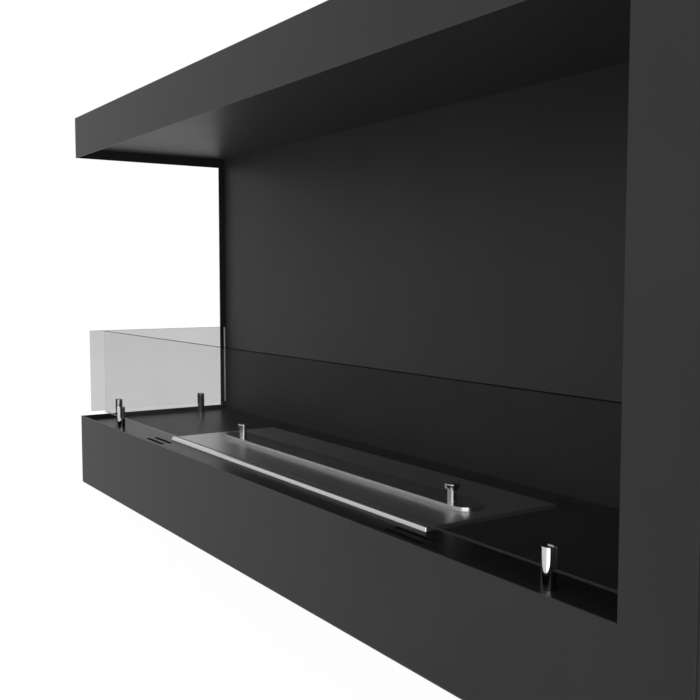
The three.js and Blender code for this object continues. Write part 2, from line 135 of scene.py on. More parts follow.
# Folded corners: each is a pair of sides of the node's box, as (axis, 0 for low or 1 for high)
FOLDS = {
    "front_frame": [((1, 0), (2, 0))],
    "back_panel": [((1, 1), (2, 0))],
    "base_side_left": [((0, 0), (2, 0))],
    "right_side_panel": [((0, 1), (2, 0))],
}


# Sizes and colours that a user would change


def distance(name, millimetres, description):
    return bpy.props.FloatProperty(name=name, default=millimetres * MM, min=0.0, precision=5, unit="LENGTH",
                                   subtype="DISTANCE", description=description)


def colour(name, value, description):
    return bpy.props.FloatVectorProperty(name=name, default=value, min=0.0, max=1.0, size=3,
                                         subtype="COLOR", description=description)


def share(name, value, description):
    return bpy.props.FloatProperty(name=name, default=value, min=0.0, max=1.0, subtype="FACTOR",
                                   description=description)


class FireplaceSizes(bpy.types.PropertyGroup):
    """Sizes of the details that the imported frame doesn't hold."""

    edge: distance("Sheet edge", 0.35, "Rounding of every cut edge of the casing's sheet")
    fold: distance("Fold", 1.9, "Outer radius of a folded corner of the casing")
    plate_sheet: distance("Plate sheet", 1.5, "Thickness of the burner plate and tank")
    plate_fold: distance("Plate fold", 0.6, "Outer radius of the burner plate's folded edge")
    plate_slant: distance("Plate slant", 1.4,
                          "How far the burner plate's rim leans in from its foot to its top")
    slot_length: distance("Flame slot length", 516, "Length of the slot in the burner plate")
    slot_width: distance("Flame slot width", 24, "Width of the slot in the burner plate")
    tank_fold: distance("Tank fold", 2.5, "Outer radius along the bottom of the tank")
    lid_edge: distance("Lid edge", 0.45, "Rounding of the lid's upper edge")
    lid_foot: distance("Lid foot", 0.9, "Rounding of the lid's lower edge")
    lid_slant: distance("Lid slant", 0.8, "How far the lid's edge leans in from its foot to its top")
    knob_stem: distance("Knob stem", 10.5, "Diameter of a knob's stem")
    knob_cap: distance("Knob cap", 5.5, "Height of a knob's cap")
    post_slot: distance("Post slot", 7, "Width of the slot in a glass holder")
    post_edge: distance("Post edge", 0.6, "Rounding of a glass holder's upper edge")
    pane_arris: distance("Pane arris", 0.5, "Width ground off the panes' edges")
    wool_depth: distance("Wool unevenness", 1.4, "How far the wool's surface dips")


class FireplaceFinishes(bpy.types.PropertyGroup):
    """Colours and gloss of the finishes."""

    coat: colour("Coat", (0.04, 0.04, 0.0405), "Black powder coat")
    shelf: colour("Shelf", (0.0095, 0.0095, 0.0096), "Smoother black coat on the shelf")
    coat_roughness: share("Coat roughness", 0.42, "Roughness of the casing's coat")
    shelf_roughness: share("Shelf roughness", 0.33, "Roughness of the smoother coat on the shelf")
    coat_gloss: share("Coat gloss", 0.065, "How strongly the casing's coat mirrors")
    shelf_gloss: share("Shelf gloss", 0.04, "How strongly the shelf's coat mirrors")
    steel: colour("Steel", (0.64, 0.64, 0.64), "Brushed stainless sheet")
    steel_roughness: share("Steel roughness", 0.32, "Roughness of the burner's plate and tank")
    lid_roughness: share("Lid roughness", 0.18, "Roughness of the burner's lid")
    chrome: colour("Chrome", (0.56, 0.56, 0.565), "Polished knobs and glass holders")
    zinc: colour("Zinc", (0.42, 0.43, 0.44), "Plated screws, angles and tray")
    lining: colour("Lining", (0.03, 0.03, 0.031), "Soft strips round the panes in their holders")
    wool: colour("Wool", (0.8, 0.78, 0.72), "Ceramic fibre")
    side_tint: share("Side pane tint", 0.262, "Light that each face of the side pane holds back")
    front_tint: share("Front pane tint", 0.289, "Light that each face of the front pane holds back")


class FireplaceStage(bpy.types.PropertyGroup):
    """Camera and light."""

    lens: bpy.props.FloatProperty(name="Lens", default=48.55, min=1.0, unit="CAMERA",
                                  description="Focal length on a 36 mm sensor")
    ambient: share("Ambient", 0.56, "Level of the light from all round")
    key: bpy.props.FloatProperty(name="Key lamp", default=24.0, min=0.0, unit="POWER",
                                 description="Power of the large lamp in front")
    fill: bpy.props.FloatProperty(name="Fill lamp", default=7.0, min=0.0, unit="POWER",
                                  description="Power of the lamp at the open side")
    panel: bpy.props.FloatProperty(name="Panel", default=18.0, min=0.0, unit="POWER",
                                   description="Power of the panel that only shows in bare metal")


# Node materials


class Wire:
    """A socket in a node tree. Arithmetic on it adds Math nodes."""

    def __init__(self, sheet, socket):
        self.sheet = sheet
        self.socket = socket

    def maths(self, operation, *values):
        return self.sheet.node("ShaderNodeMath", {"operation": operation}, dict(enumerate(values)))

    def __add__(self, other):
        return self.maths("ADD", self, other)

    __radd__ = __add__

    def __mul__(self, other):
        return self.maths("MULTIPLY", self, other)

    __rmul__ = __mul__

    def __sub__(self, other):
        return self.maths("SUBTRACT", self, other)

    def __rsub__(self, other):
        return self.maths("SUBTRACT", other, self)

    def __pow__(self, power):
        return self.maths("POWER", self, power)

    def most(self, other):
        return self.maths("MAXIMUM", self, other)


class NodeSheet:
    """Writes the nodes of one material or world."""

    def __init__(self, owner):
        owner.use_nodes = True
        self.owner = owner
        self.tree = owner.node_tree
        self.tree.nodes.clear()

    def node(self, kind, settings, sockets, output=0):
        """Adds a node and gives its output, or None where a node has none."""
        made = self.tree.nodes.new(kind)
        for key, value in settings.items():
            setattr(made, key, value)
        for key, value in sockets.items():
            if isinstance(value, Wire):
                self.tree.links.new(value.socket, made.inputs[key])
            else:
                made.inputs[key].default_value = value
        return Wire(self, made.outputs[output]) if made.outputs else None

    def noise(self, scale, detail=2.0, stretch=(1.0, 1.0, 1.0)):
        place = self.node("ShaderNodeTexCoord", {}, {}, "Object")
        spread = self.node("ShaderNodeVectorMath", {"operation": "MULTIPLY"}, {0: place, 1: stretch})
        return self.node("ShaderNodeTexNoise", {}, {"Vector": spread, "Scale": scale, "Detail": detail})

    def blend(self, factor, first, second):
        return self.node("ShaderNodeMix", {"data_type": "RGBA"}, {"Factor": factor, 6: first, 7: second}, 2)

    def attribute(self, name):
        return self.node("ShaderNodeAttribute", {"attribute_name": name}, {}, "Fac")

    def relief(self, height, depth, strength=1.0):
        sockets = {"Strength": strength, "Distance": depth, "Height": height}
        return self.node("ShaderNodeBump", {}, sockets)

    def surface(self, sockets):
        shader = self.node("ShaderNodeBsdfPrincipled", {}, sockets)
        self.output(shader)
        return self.owner

    def output(self, shader):
        use = "World" if isinstance(self.owner, bpy.types.World) else "Material"
        self.node(f"ShaderNodeOutput{use}", {}, {"Surface": shader})


def toned(value, factor):
    """A colour made darker or lighter, as a node's four numbers."""
    return (*[channel * factor for channel in value], 1.0)


def powder_coat(name, base, roughness, gloss, peel_depth):
    """Fine-grained powder coat with an orange-peel surface, with a painted highlight along its rounded edges.
    """
    coat = NodeSheet(bpy.data.materials.new(name))
    cloud = coat.noise(9.0, 3.0)
    speck = coat.noise(1600.0, 1.0)
    peel = coat.noise(520.0, 2.0)
    edge_highlight = coat.attribute("edge_highlight")
    tone = coat.blend(0.6 * cloud + 0.4 * speck, toned(base, 0.75), toned(base, 1.3))
    # Painted highlight: the middle of each rounded edge is painted up to 3.2 times brighter, as if it caught
    # the light
    highlit_tone = coat.blend(edge_highlight * (0.25 + 0.5 * cloud), tone, toned(base, 3.2))
    return coat.surface({
        "Base Color": highlit_tone,
        "Roughness": roughness - 0.05 + 0.06 * cloud + 0.04 * speck - 0.08 * edge_highlight,
        "Specular IOR Level": gloss,
        "Normal": coat.relief(peel + 0.3 * speck, peel_depth),
    })


def brushed_steel(name, base, roughness):
    """Sheet with fine brushing along its length."""
    steel = NodeSheet(bpy.data.materials.new(name))
    coarse = steel.noise(1.0, 3.0, tuple(0.35 * axis for axis in BRUSHING))
    fine = steel.noise(1.0, 2.0, BRUSHING)
    cloud = steel.noise(12.0, 2.0)
    edge_highlight = steel.attribute("edge_highlight")
    lines = 0.5 * coarse + 0.5 * fine
    tone = steel.blend(0.7 * lines + 0.3 * cloud, toned(base, 0.86), toned(base, 1.12))
    # Painted highlight: the rounded edges are painted a quarter brighter, as if they caught the light
    bright = steel.blend(0.6 * edge_highlight, tone, toned(base, 1.25))
    return steel.surface({
        "Base Color": bright,
        "Metallic": 1.0,
        "Roughness": roughness - 0.06 + 0.12 * lines + 0.05 * cloud - 0.06 * edge_highlight,
        "Normal": steel.relief(lines, BRUSHING_DEPTH),
    })


def polished_chrome(name, base):
    """Turned and plated brass, with the faintest turning marks and finger marks."""
    chrome = NodeSheet(bpy.data.materials.new(name))
    turning = chrome.noise(1.0, 1.0, (60.0, 60.0, 2600.0))
    smudge = chrome.noise(160.0, 2.0)
    return chrome.surface({
        "Base Color": chrome.blend(smudge, toned(base, 0.94), toned(base, 1.04)),
        "Metallic": 1.0,
        "Roughness": 0.05 + 0.07 * smudge * smudge + 0.03 * turning,
        "Normal": chrome.relief(turning, 0.004 * MM, 0.5),
    })


def zinc_plate(name, base):
    """Dull plated steel with a faint spangle."""
    zinc = NodeSheet(bpy.data.materials.new(name))
    spangle = zinc.node("ShaderNodeTexVoronoi", {}, {
        "Vector": zinc.node("ShaderNodeTexCoord", {}, {}, "Object"), "Scale": 260.0}, "Color")
    patch = zinc.node("ShaderNodeSeparateColor", {}, {"Color": spangle})
    cloud = zinc.noise(40.0, 3.0)
    edge_highlight = zinc.attribute("edge_highlight")
    return zinc.surface({
        "Base Color": zinc.blend(0.5 * patch + 0.5 * cloud, toned(base, 0.8), toned(base, 1.2)),
        "Metallic": 0.9,
        "Roughness": 0.36 + 0.12 * patch + 0.08 * cloud - 0.06 * edge_highlight,
        "Normal": zinc.relief(cloud + 0.5 * patch, 0.02 * MM),
    })


def tinted_glass(name, tint, hold, hold_behind):
    """Grey toughened glass; hold is the share of light that each face keeps back, less behind another pane.

    What metal and glass mirror isn't dimmed by it.
    """
    glass = NodeSheet(bpy.data.materials.new(name))
    smear = glass.noise(14.0, 4.0)
    crossed = glass.node("ShaderNodeLightPath", {}, {}, "Transparent Depth")
    behind = crossed.maths("GREATER_THAN", crossed, 1.5)
    direct = 1.0 - glass.node("ShaderNodeLightPath", {}, {}, "Is Glossy Ray")
    return glass.surface({
        "Base Color": tint,
        "Roughness": 0.02 + 0.05 * smear * smear,
        "Specular IOR Level": 0.01,
        "Alpha": (hold + (hold_behind - hold) * behind) * (0.94 + 0.12 * smear) * direct,
    })


def ground_glass(name, base, hold, gloss):
    """A ground edge of a pane; hold is the share of light that it keeps back."""
    edge = NodeSheet(bpy.data.materials.new(name))
    grinding = edge.noise(900.0, 2.0)
    wide = edge.noise(18.0, 2.0)
    return edge.surface({
        "Base Color": edge.blend(grinding, toned(base, 0.85), toned(base, 1.15)),
        "Roughness": 0.28 + 0.2 * grinding,
        "Specular IOR Level": gloss,
        "Alpha": hold * (0.85 + 0.3 * wide),
        "Normal": edge.relief(grinding, 0.01 * MM),
    })


def silicone(name, base):
    """Soft strip with dust on it."""
    rubber = NodeSheet(bpy.data.materials.new(name))
    dust = rubber.noise(900.0, 3.0)
    return rubber.surface({
        "Base Color": rubber.blend(dust, toned(base, 0.82), toned(base, 1.05)),
        "Roughness": 0.5 + 0.2 * dust,
        "Normal": rubber.relief(dust, 0.02 * MM),
    })


def ceramic_fibre(name, base):
    """Matted white fibre, scorched a little here and there."""
    fibre = NodeSheet(bpy.data.materials.new(name))
    along = fibre.noise(1.0, 3.0, (260.0, 2400.0, 1800.0))
    across = fibre.noise(1.0, 3.0, (2400.0, 300.0, 1800.0))
    scorch = fibre.noise(22.0, 3.0)
    mat = along.most(across)
    pale = fibre.blend(mat, toned(base, 0.62), toned(base, 1.1))
    return fibre.surface({
        "Base Color": fibre.blend(0.45 * scorch ** 3.0, pale, (0.3, 0.24, 0.18, 1.0)),
        "Roughness": 0.9 + 0.08 * mat,
        "Normal": fibre.relief(mat, 0.4 * MM),
    })


def finish(context, kind):
    """The material of a kind of surface, made when it is first asked for."""
    name = f"{kind}_finish"
    found = bpy.data.materials.get(name)
    if found:
        return found
    if kind in GROUND_EDGES:
        return ground_glass(name, *GROUND_EDGES[kind])
    look = context.scene.fireplace_finishes
    makers = {
        "coat": lambda: powder_coat(name, look.coat, look.coat_roughness, look.coat_gloss, COAT_PEEL),
        "shelf_coat": lambda: powder_coat(name, look.shelf, look.shelf_roughness, look.shelf_gloss,
                                          SHELF_PEEL),
        "steel": lambda: brushed_steel(name, look.steel, look.steel_roughness),
        "lid_steel": lambda: brushed_steel(name, look.steel, look.lid_roughness),
        "chrome": lambda: polished_chrome(name, look.chrome),
        "zinc": lambda: zinc_plate(name, look.zinc),
        "side_glass": lambda: tinted_glass(name, PANE_GREY, look.side_tint, HOLD_BEHIND),
        "front_glass": lambda: tinted_glass(name, PANE_GREY, look.front_tint, look.front_tint),
        "lining": lambda: silicone(name, look.lining),
        "wool": lambda: ceramic_fibre(name, look.wool),
    }
    return makers[kind]()


# Meshes


def soften(points, radii, steps=4):
    """A profile whose corners are rounded: one radius for each point, 0 for a sharp one."""
    softened = []
    for index, (point, radius) in enumerate(zip(points, radii)):
        here = Vector(point)
        if radius == 0:
            softened.append(tuple(here))
            continue
        before = Vector(points[index - 1]) - here
        after = Vector(points[(index + 1) % len(points)]) - here
        start = here + before.normalized() * radius
        end = here + after.normalized() * radius
        for step in range(steps + 1):
            t = step / steps
            softened.append(tuple((1 - t) ** 2 * start + 2 * t * (1 - t) * here + t ** 2 * end))
    return softened


def round_ring(x, y, radius, z, segments):
    turns = [2 * math.pi * step / segments for step in range(segments)]
    return [(x + radius * math.cos(turn), y + radius * math.sin(turn), z) for turn in turns]


def corner_ring(x, y, length, breadth, radius, z, corner_points=7):
    """A level ring round a rectangle with round corners."""
    points = []
    for corner, (side_x, side_y) in enumerate(((1, 1), (-1, 1), (-1, -1), (1, -1))):
        for step in range(corner_points):
            turn = (corner + step / (corner_points - 1)) * QUARTER
            points.append((x + side_x * (length / 2 - radius) + radius * math.cos(turn),
                           y + side_y * (breadth / 2 - radius) + radius * math.sin(turn), z))
    return points


def skin(rings, closed=False):
    """A mesh over a row of rings with equal numbers of points; closed joins the last to the first."""
    bm = bmesh.new()
    rows = [[bm.verts.new(point) for point in ring] for ring in rings]
    pairs = list(zip(rows, rows[1:])) + ([(rows[-1], rows[0])] if closed else [])
    for low, high in pairs:
        for index in range(len(low)):
            after = (index + 1) % len(low)
            bm.faces.new((low[index], low[after], high[after], high[index]))
    if not closed:
        bm.faces.new(reversed(rows[0]))
        bm.faces.new(rows[-1])
    bmesh.ops.remove_doubles(bm, verts=bm.verts, dist=WELD)
    bmesh.ops.recalc_face_normals(bm, faces=bm.faces)
    return bm


def turned(profile, x, y, z, segments):
    """A lathe-turned body; the profile is (radius, height) from z."""
    return skin([round_ring(x, y, radius, z + height, segments) for radius, height in profile])


def cad_mesh(node):
    """A CAD node's mesh with its coplanar triangles joined."""
    bm = bmesh.new()
    bm.from_mesh(frame["nodes"][node].data)
    bmesh.ops.remove_doubles(bm, verts=bm.verts, dist=WELD)
    bmesh.ops.dissolve_limit(bm, angle_limit=FLAT, verts=bm.verts, edges=bm.edges)
    return bm


def round_edges(bm, edges, width, segments):
    """Rounds edges, and marks the middle of each rounding, where a highlight is painted on the coat and the
    steel.
    """
    made = bmesh.ops.bevel(bm, geom=edges, offset=width, offset_type="OFFSET", segments=segments,
                           profile=0.5, affect="EDGES", clamp_overlap=True)
    # This mask marks where the painted edge highlight goes
    edge_highlight = bm.verts.layers.float.get("edge_highlight") or bm.verts.layers.float.new("edge_highlight")
    faces = set(made["faces"])
    for vert in {vert for face in faces for vert in face.verts}:
        if all(face in faces for face in vert.link_faces):
            vert[edge_highlight] = 1.0


def creases(bm):
    return [edge for edge in bm.edges if edge.is_manifold and edge.calc_face_angle() > CREASE]


def on_sides(edge, node, sides):
    """True if both ends of the edge lie on all the named sides of the node's box."""
    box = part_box(node)
    return all(abs(vert.co[axis] - box[end][axis]) < ON_SIDE for vert in edge.verts for axis, end in sides)


def carve(bm, *cutters):
    """The mesh less the cutters."""
    scene = bpy.context.scene.collection
    objects = []
    for index, part in enumerate((bm, *cutters)):
        mesh = bpy.data.meshes.new(f"carving_{index}")
        part.to_mesh(mesh)
        part.free()
        objects.append(bpy.data.objects.new(mesh.name, mesh))
        scene.objects.link(objects[-1])
    for tool in objects[1:]:
        modifier = objects[0].modifiers.new("Cut", "BOOLEAN")
        modifier.object = tool
        modifier.operation = "DIFFERENCE"
        modifier.solver = "EXACT"
    shaped = objects[0].evaluated_get(bpy.context.evaluated_depsgraph_get())
    result = bmesh.new()
    result.from_mesh(shaped.to_mesh())
    shaped.to_mesh_clear()
    for obj in objects:
        mesh = obj.data
        bpy.data.objects.remove(obj)
        bpy.data.meshes.remove(mesh)
    bmesh.ops.remove_doubles(result, verts=result.verts, dist=WELD)
    bmesh.ops.dissolve_limit(result, angle_limit=FLAT, verts=result.verts, edges=result.edges)
    return result


def place(context, node, bm, slot, *finishes):
    """Makes the piece that stands for a CAD node, riding on the node's own body."""
    name = f"{node}_finished"
    mesh = bpy.data.meshes.new(name)
    bm.to_mesh(mesh)
    bm.free()
    mesh.shade_smooth()
    for item in finishes:
        mesh.materials.append(finish(context, item))
    piece = bpy.data.objects.new(name, mesh)
    context.scene.collection.objects.link(piece)
    piece.modifiers.new("Flat faces stay flat", "WEIGHTED_NORMAL").keep_sharp = False
    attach(piece, frame["nodes"][node]["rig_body"])
    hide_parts(node)
    return piece


def middle(node):
    low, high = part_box(node)
    return (low + high) / 2


def sheet_piece(context, node, slot, coat, edge):
    """A CAD sheet with bent folds and softened cut edges."""
    bm = cad_mesh(node)
    fold = context.scene.fireplace_sizes.fold
    for sides in FOLDS.get(node, []):
        round_edges(bm, [item for item in bm.edges if on_sides(item, node, sides)], fold, 5)
    round_edges(bm, creases(bm), edge, 2)
    return place(context, node, bm, slot, coat)


def box_mesh(low, high):
    bm = bmesh.new()
    bmesh.ops.create_cube(bm, size=1.0)
    for vert in bm.verts:
        vert.co = Vector(low[axis] if vert.co[axis] < 0 else high[axis] for axis in range(3))
    return bm


# Casing


class FIREPLACE_OT_casing(bpy.types.Operator):
    """Make the outer sheets of the casing"""

    bl_idname = "fireplace.casing"
    bl_label = "Casing"

    def execute(self, context):
        edge = context.scene.fireplace_sizes.edge
        for node in OUTER_SHEETS:
            sheet_piece(context, node, "coat", "coat", edge)
        return {"FINISHED"}


class FIREPLACE_OT_chamber(bpy.types.Operator):
    """Make the walls, ceiling and shelf of the fire chamber"""

    bl_idname = "fireplace.chamber"
    bl_label = "Fire chamber"

    def execute(self, context):
        edge = context.scene.fireplace_sizes.edge
        for node in CHAMBER_SHEETS:
            sheet_piece(context, node, "coat", "coat", edge)
        sheet_piece(context, "base_shelf", "coat", "shelf_coat", edge)
        return {"FINISHED"}


class FIREPLACE_OT_base(bpy.types.Operator):
    """Make the angles, the bottom panel, its screws and the tray"""

    bl_idname = "fireplace.base"
    bl_label = "Base"

    def execute(self, context):
        edge = context.scene.fireplace_sizes.edge
        sheet_piece(context, "bottom_panel", "coat", "coat", edge)
        for node in RAILS:
            sheet_piece(context, node, "zinc", "zinc", edge)
        self.tray(context)
        for node in BOTTOM_SCREWS:
            place(context, node, countersunk_screw(node), "zinc", "zinc")
        return {"FINISHED"}

    def tray(self, context):
        sizes = context.scene.fireplace_sizes
        low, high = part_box("overflow_tray")
        rings = vessel_rings(low, high, sizes.plate_sheet, TANK_CORNER, sizes.tank_fold)
        place(context, "overflow_tray", skin(rings), "zinc", "zinc")


def vessel_rings(low, high, sheet, corner, fold):
    """Rings of an open vessel, from the middle of its underside round the rim to the middle of its floor."""
    length, breadth = high.x - low.x, high.y - low.y
    profile = soften(
        [(corner, low.z), (0.0, low.z), (0.0, high.z), (sheet, high.z), (sheet, low.z + sheet),
         (corner, low.z + sheet)],
        [0, fold, 0.3 * sheet, 0.3 * sheet, fold - sheet / 2, 0])
    x, y = (low.x + high.x) / 2, (low.y + high.y) / 2
    return [corner_ring(x, y, length - 2 * inset, breadth - 2 * inset, max(corner - inset, 0.1 * MM), level)
            for inset, level in profile]


def threads(radius, start, end, pitch=0.7 * MM, depth=0.22 * MM):
    """Profile of a thread, upwards from start to end."""
    points = []
    turns = int((end - start) / pitch)
    for turn in range(turns):
        points += [(radius - depth, start + turn * pitch), (radius, start + (turn + 0.5) * pitch)]
    return points


def cross_recess(x, y, z, width, depth):
    """Two crossed bars that cut a driver's recess downwards or upwards from z."""
    low, high = sorted((z - depth, z + depth))
    slim = width * 0.16
    return (box_mesh((x - width / 2, y - slim, low), (x + width / 2, y + slim, high)),
            box_mesh((x - slim, y - width / 2, low), (x + slim, y + width / 2, high)))


def countersunk_screw(node):
    """Flat head below, threaded shank above, with a cross recess in the head."""
    low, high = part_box(node)
    x, y = middle(node).xy
    head = (high.x - low.x) / 2
    shank, neck, point, recess = 2.0 * MM, 0.3 * MM, 0.5 * MM, 1.4 * MM
    rim_in, rim_up = 0.1 * MM, 0.15 * MM
    length = high.z - low.z
    flare = head - shank
    profile = [(0, 0), (head - rim_in, 0), (head, rim_up), (shank, flare)]
    profile += threads(shank, flare + neck, length - point)
    profile += [(shank - point, length), (0, length)]
    return carve(turned(profile, x, y, low.z, 24), *cross_recess(x, y, low.z, head, recess))


def button_screw(node):
    """Domed head below with a hexagon socket, threaded shank above."""
    low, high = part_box(node)
    x, y = middle(node).xy
    head = (high.x - low.x) / 2
    shank, rise, neck, point = 2.5 * MM, 2.6 * MM, 0.3 * MM, 0.6 * MM
    socket_radius, socket_depth = 1.7 * MM, 1.6 * MM
    length = high.z - low.z
    dome = [(head * math.sin(turn), rise * (1 - math.cos(turn)))
            for turn in (QUARTER * step / 6 for step in range(7))]
    profile = [(0, 0), *[(radius, level) for radius, level in dome[2:]], (shank, rise)]
    profile += threads(shank, rise + neck, length - point)
    profile += [(shank - point, length), (0, length)]
    socket = turned([(0, -rise), (socket_radius, -rise), (socket_radius, socket_depth), (0, socket_depth)],
                    x, y, low.z, 6)
    return carve(turned(profile, x, y, low.z, 32), socket)


# Glass


class FIREPLACE_OT_panes(bpy.types.Operator):
    """Make the two panes with ground edges"""

    bl_idname = "fireplace.panes"
    bl_label = "Panes"

    def execute(self, context):
        arris = context.scene.fireplace_sizes.pane_arris
        for node, along, foot in (("front_glass", 0, "ground_foot_painted_light"), ("side_glass", 1, "side_glass")):
            bm = box_mesh(*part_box(node))
            round_edges(bm, list(bm.edges), arris, 2)
            bm.normal_update()
            for face in bm.faces:
                face.material_index = self.edge_kind(face.normal, along)
            # Each pane's top edge gets painted shade, and the front pane's foot and the far ends get painted
            # light
            place(context, node, bm, "glass", node, "ground_top_painted_shade", foot, "ground_end_painted_light")
        return {"FINISHED"}

    def edge_kind(self, normal, along):
        """0 is a face or the end at the open corner, 1 the top, 2 the foot and 3 the far end."""
        if abs(normal.z) > 0.5:
            return 1 if normal.z > 0 else 2
        return 3 if normal[along] > 0.5 else 0


class FIREPLACE_OT_posts(bpy.types.Operator):
    """Make the slotted glass holders, their linings and screws"""

    bl_idname = "fireplace.posts"
    bl_label = "Glass holders"

    def execute(self, context):
        lining_edge = 0.12 * MM
        for post in POSTS:
            self.holder(context, post)
            bm = cad_mesh(f"lining_{post}")
            round_edges(bm, creases(bm), lining_edge, 2)
            place(context, f"lining_{post}", bm, "lining", "lining")
            place(context, f"post_screw_{post}", button_screw(f"post_screw_{post}"), "zinc", "zinc")
        return {"FINISHED"}

    def holder(self, context, post):
        sizes = context.scene.fireplace_sizes
        node = f"post_{post}"
        low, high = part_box(node)
        x, y = middle(node).xy
        radius = (high.x - low.x) / 2
        height = high.z - low.z
        bore, deep = 2.65 * MM, 10.5 * MM
        foot_edge, slot_edge = 0.2 * MM, 0.15 * MM
        profile = soften(
            [(0, deep), (bore, deep), (bore, 0), (radius, 0), (radius, height), (0, height)],
            [0, 0, 0, foot_edge, sizes.post_edge, 0])
        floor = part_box(f"lining_{post}")[0].z
        half = Vector((radius * 2, sizes.post_slot / 2) if post.startswith("front") else
                      (sizes.post_slot / 2, radius * 2))
        slot = box_mesh((x - half.x, y - half.y, floor), (x + half.x, y + half.y, high.z + radius))
        bm = carve(turned(profile, x, y, low.z, 64), slot)
        sharp = [edge for edge in creases(bm) if all(vert.co.z > floor - WELD for vert in edge.verts)]
        round_edges(bm, sharp, slot_edge, 2)
        place(context, node, bm, "chrome", "chrome")


# Burner


class FIREPLACE_OT_burner(bpy.types.Operator):
    """Make the burner's plate, tank and screen"""

    bl_idname = "fireplace.burner"
    bl_label = "Burner"

    def execute(self, context):
        sizes = context.scene.fireplace_sizes
        self.plate(context, sizes)
        low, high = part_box("burner_tank")
        rings = vessel_rings(low, high, sizes.plate_sheet, TANK_CORNER, sizes.tank_fold)
        place(context, "burner_tank", skin(rings), "steel", "steel")
        screen_edge = 0.2 * MM
        sheet_piece(context, "wool_screen", "steel", "steel", screen_edge)
        return {"FINISHED"}

    def plate(self, context, sizes):
        """Upside-down tray: its folded rim, its top, the flame slot's rounded lip and its underside."""
        low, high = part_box("burner_plate")
        x, y = middle("burner_plate").xy
        sheet, fold, slant = sizes.plate_sheet, sizes.plate_fold, sizes.plate_slant
        lip, inner_fold, cut, corner = 0.5 * MM, 0.4 * MM, 0.3 * MM, 1.5 * MM
        flat, slot_flat = 10 * MM, 8 * MM
        under = high.z - sheet
        under_share = (under - low.z) / (high.z - low.z)
        length, breadth = high.x - low.x, high.y - low.y
        outside = soften(
            [(sheet + slant * under_share, under), (sheet, low.z), (0.0, low.z),
             (slant, high.z), (flat, high.z)],
            [inner_fold, cut, cut, fold, 0])
        slot = soften([(-slot_flat, high.z), (0.0, high.z), (0.0, under), (-slot_flat, under)],
                      [0, lip, lip, 0])
        rings = [corner_ring(x, y, length - 2 * inset, breadth - 2 * inset, corner, level)
                 for inset, level in outside]
        rings += [corner_ring(x, y, sizes.slot_length - 2 * inset, sizes.slot_width - 2 * inset,
                              sizes.slot_width / 2 - inset, level) for inset, level in slot]
        place(context, "burner_plate", skin(rings, closed=True), "steel", "steel")


class FIREPLACE_OT_wool(bpy.types.Operator):
    """Make the uneven pad of ceramic fibre in the tank"""

    bl_idname = "fireplace.wool"
    bl_label = "Ceramic wool"

    def execute(self, context):
        depth = context.scene.fireplace_sizes.wool_depth
        block = place(context, "wool_pad", cad_mesh("wool_pad"), "wool", "wool")
        block.modifiers.clear()
        remesh = block.modifiers.new("Even faces", "REMESH")
        remesh.mode = "VOXEL"
        remesh.voxel_size = 3 * MM
        shaped = block.evaluated_get(context.evaluated_depsgraph_get())
        bm = bmesh.new()
        bm.from_mesh(shaped.to_mesh())
        shaped.to_mesh_clear()
        block.modifiers.clear()
        bm.normal_update()
        moves = {vert: self.dip(vert.co) * depth for vert in bm.verts}
        for vert, move in moves.items():
            vert.co -= vert.normal * move
        bm.to_mesh(block.data)
        bm.free()
        block.data.shade_smooth()
        return {"FINISHED"}

    def dip(self, point):
        """How far the wool falls back at a point, from 0 to 1: broad lumps with fine tufts on them."""
        lump, tuft = 30 * MM, 6 * MM
        lumps = noise.noise(point / lump)
        tufts = noise.noise(point / tuft)
        return min(1.0, max(0.0, 0.4 + 0.45 * lumps + 0.35 * tufts))


class FIREPLACE_OT_lid(bpy.types.Operator):
    """Make the lid, its knobs and their screws"""

    bl_idname = "fireplace.lid"
    bl_label = "Lid"

    def execute(self, context):
        sizes = context.scene.fireplace_sizes
        self.lid(context, sizes)
        for side in SIDES:
            self.knob(context, sizes, f"lid_knob_{side}")
            place(context, f"knob_screw_{side}", countersunk_screw(f"knob_screw_{side}"), "zinc", "zinc")
        return {"FINISHED"}

    def lid(self, context, sizes):
        low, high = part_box("burner_lid")
        x, y = middle("burner_lid").xy
        length, breadth = high.x - low.x, high.y - low.y
        flat = 4 * MM
        profile = soften([(flat, low.z), (0.0, low.z), (sizes.lid_slant, high.z), (flat, high.z)],
                         [0, sizes.lid_foot, sizes.lid_edge, 0])
        body = skin([corner_ring(x, y, length - 2 * inset, breadth - 2 * inset, breadth / 2 - inset, level,
                                 corner_points=15) for inset, level in profile])
        head, hole = 4.3 * MM, 2.15 * MM
        below, above = 1 * MM, 9 * MM
        sink = [(0, -below), (head + below, -below), (hole, head - hole), (hole, above), (0, above)]
        cutters = [turned(sink, middle(f"lid_knob_{side}").x, y, low.z, 32) for side in SIDES]
        place(context, "burner_lid", carve(body, *cutters), "steel", "lid_steel")

    def knob(self, context, sizes, node):
        low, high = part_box(node)
        x, y = middle(node).xy
        cap = (high.x - low.x) / 2
        stem = sizes.knob_stem / 2
        height = high.z - low.z
        under = height - sizes.knob_cap
        bore, deep = 2.15 * MM, 8.5 * MM
        foot, neck, rim, crown = 0.3 * MM, 0.7 * MM, 0.5 * MM, 1.5 * MM
        profile = soften(
            [(0, deep), (bore, deep), (bore, 0), (stem, 0), (stem, under), (cap, under),
             (cap, height), (0, height)],
            [0, 0, 0, foot, neck, rim, crown, 0])
        place(context, node, turned(profile, x, y, low.z, 64), "chrome", "chrome")


# Stage


